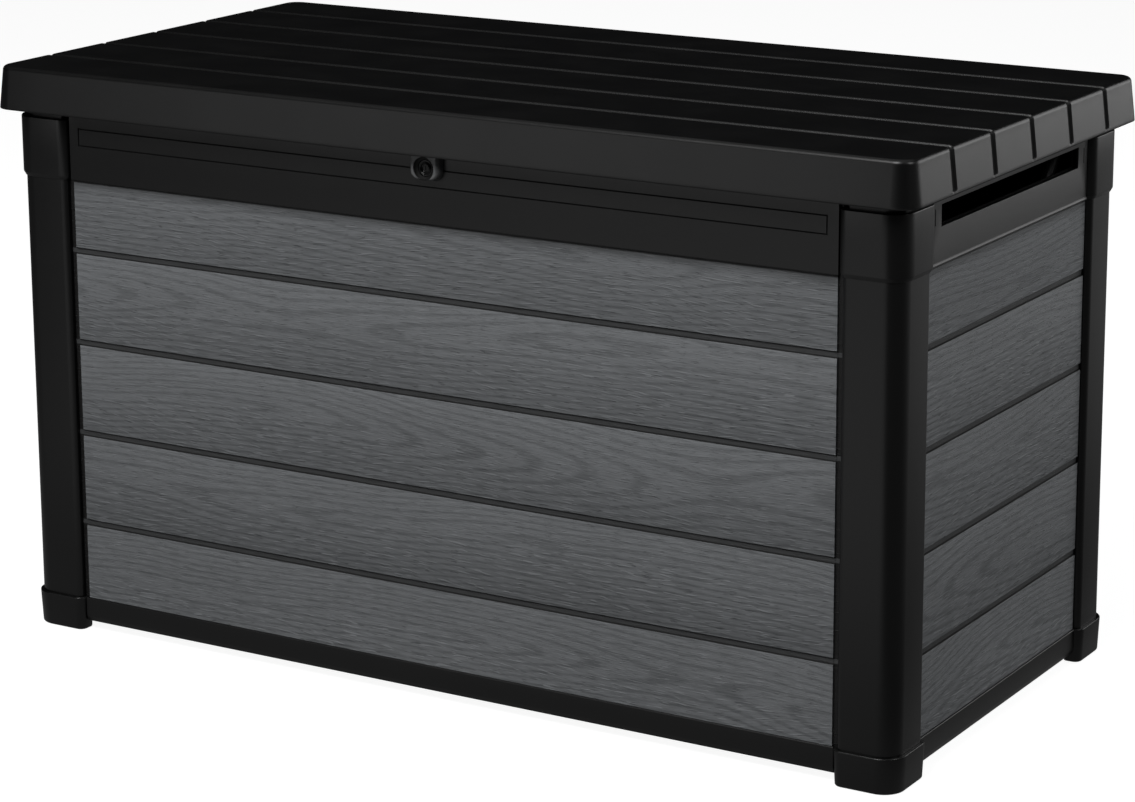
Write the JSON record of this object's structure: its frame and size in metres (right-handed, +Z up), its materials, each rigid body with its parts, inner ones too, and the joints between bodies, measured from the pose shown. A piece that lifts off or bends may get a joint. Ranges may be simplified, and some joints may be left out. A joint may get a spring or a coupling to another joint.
{
  "type": "outdoor storage box",
  "caption": "Rectangular moulded-resin deck storage box with wood-look plank sides, black corner columns and rails, a hinged slatted lid, gas struts and a turn lock.",
  "frame": {"origin": "on the ground under the middle of the lid's outline, which is also the middle of the body", "axes": "+X along the long side towards the right when facing the front, +Y from the front to the back (the hinge side), +Z up"},
  "size_m": [1.45, 0.736, 0.8315],
  "materials": {
    "black_resin": "fine grained satin",
    "grey_wood_resin": "moulded wood grain, matt",
    "gloss_black_resin": "polished",
    "zinc_steel": "zinc plated"
  },
  "bodies": {
    "box": {"floor_panel": "black_resin", "front_panel": "grey_wood_resin", "back_panel": "grey_wood_resin", "left_panel": "grey_wood_resin", "right_panel": "grey_wood_resin", "column_front_left": "black_resin", "column_front_right": "black_resin", "column_back_left": "black_resin", "column_back_right": "black_resin", "collar_front_left": "black_resin", "collar_front_right": "black_resin", "collar_back_left": "black_resin", "collar_back_right": "black_resin", "foot_front_left": "black_resin", "foot_front_right": "black_resin", "foot_back_left": "black_resin", "foot_back_right": "black_resin", "top_rail_front": "black_resin", "top_rail_back": "black_resin", "top_rail_left": "black_resin", "top_rail_right": "black_resin", "bottom_rail_front": "black_resin", "bottom_rail_back": "black_resin", "bottom_rail_left": "black_resin", "bottom_rail_right": "black_resin", "lock_tab": "black_resin", "hinge_left_body_leaf": "zinc_steel", "hinge_left_pin": "zinc_steel", "hinge_left_body_screw_1": "zinc_steel", "hinge_left_body_screw_2": "zinc_steel", "strut_left_body_bracket": "zinc_steel", "hinge_right_body_leaf": "zinc_steel", "hinge_right_pin": "zinc_steel", "hinge_right_body_screw_1": "zinc_steel", "hinge_right_body_screw_2": "zinc_steel", "strut_right_body_bracket": "zinc_steel"},
    "lid": {"lid_shell": "black_resin", "lid_liner": "black_resin", "lock_keeper": "zinc_steel", "hinge_left_lid_leaf": "zinc_steel", "hinge_left_lid_screw_1": "zinc_steel", "hinge_left_lid_screw_2": "zinc_steel", "strut_left_lid_bracket": "zinc_steel", "hinge_right_lid_leaf": "zinc_steel", "hinge_right_lid_screw_1": "zinc_steel", "hinge_right_lid_screw_2": "zinc_steel", "strut_right_lid_bracket": "zinc_steel"},
    "lock_turn": {"lock_barrel": "gloss_black_resin", "lock_cam": "zinc_steel", "lock_nut": "zinc_steel"},
    "strut_left_tube_body": {"strut_left_tube": "black_resin"},
    "strut_left_rod_body": {"strut_left_rod": "zinc_steel"},
    "strut_right_tube_body": {"strut_right_tube": "black_resin"},
    "strut_right_rod_body": {"strut_right_rod": "zinc_steel"}
  },
  "joints": [
    {"name": "lid_hinge", "type": "hinge", "parent": "box", "child": "lid", "pos_m": [0, 0.3515, 0.762], "axis": [-1, 0, 0], "range_deg": [0, 95]},
    {"name": "lock_turn", "type": "hinge", "parent": "box", "child": "lock_turn", "pos_m": [0, -0.3365, 0.75], "axis": [0, 1, 0], "range_deg": [0, 90]},
    {"name": "strut_left_swing", "type": "hinge", "parent": "box", "child": "strut_left_tube_body", "pos_m": [-0.66, 0.1, 0.6], "axis": [-1, 0, 0], "range_deg": [0, 7.91]},
    {"name": "strut_left_slide", "type": "slide", "parent": "strut_left_tube_body", "child": "strut_left_rod_body", "axis": [0, 0.6356, 0.772], "range_m": [0, 0.14522]},
    {"name": "strut_right_swing", "type": "hinge", "parent": "box", "child": "strut_right_tube_body", "pos_m": [0.66, 0.1, 0.6], "axis": [-1, 0, 0], "range_deg": [0, 7.91]},
    {"name": "strut_right_slide", "type": "slide", "parent": "strut_right_tube_body", "child": "strut_right_rod_body", "axis": [0, 0.6356, 0.772], "range_m": [0, 0.14522]}
  ],
  "couplings": [
    {"joint": "strut_left_swing", "follows": "lid_hinge", "ratio": 0.083194},
    {"joint": "strut_left_slide", "follows": "lid_hinge", "m_per_rad": 0.087522},
    {"joint": "strut_right_swing", "follows": "lid_hinge", "ratio": 0.083194},
    {"joint": "strut_right_slide", "follows": "lid_hinge", "m_per_rad": 0.087522}
  ]
}
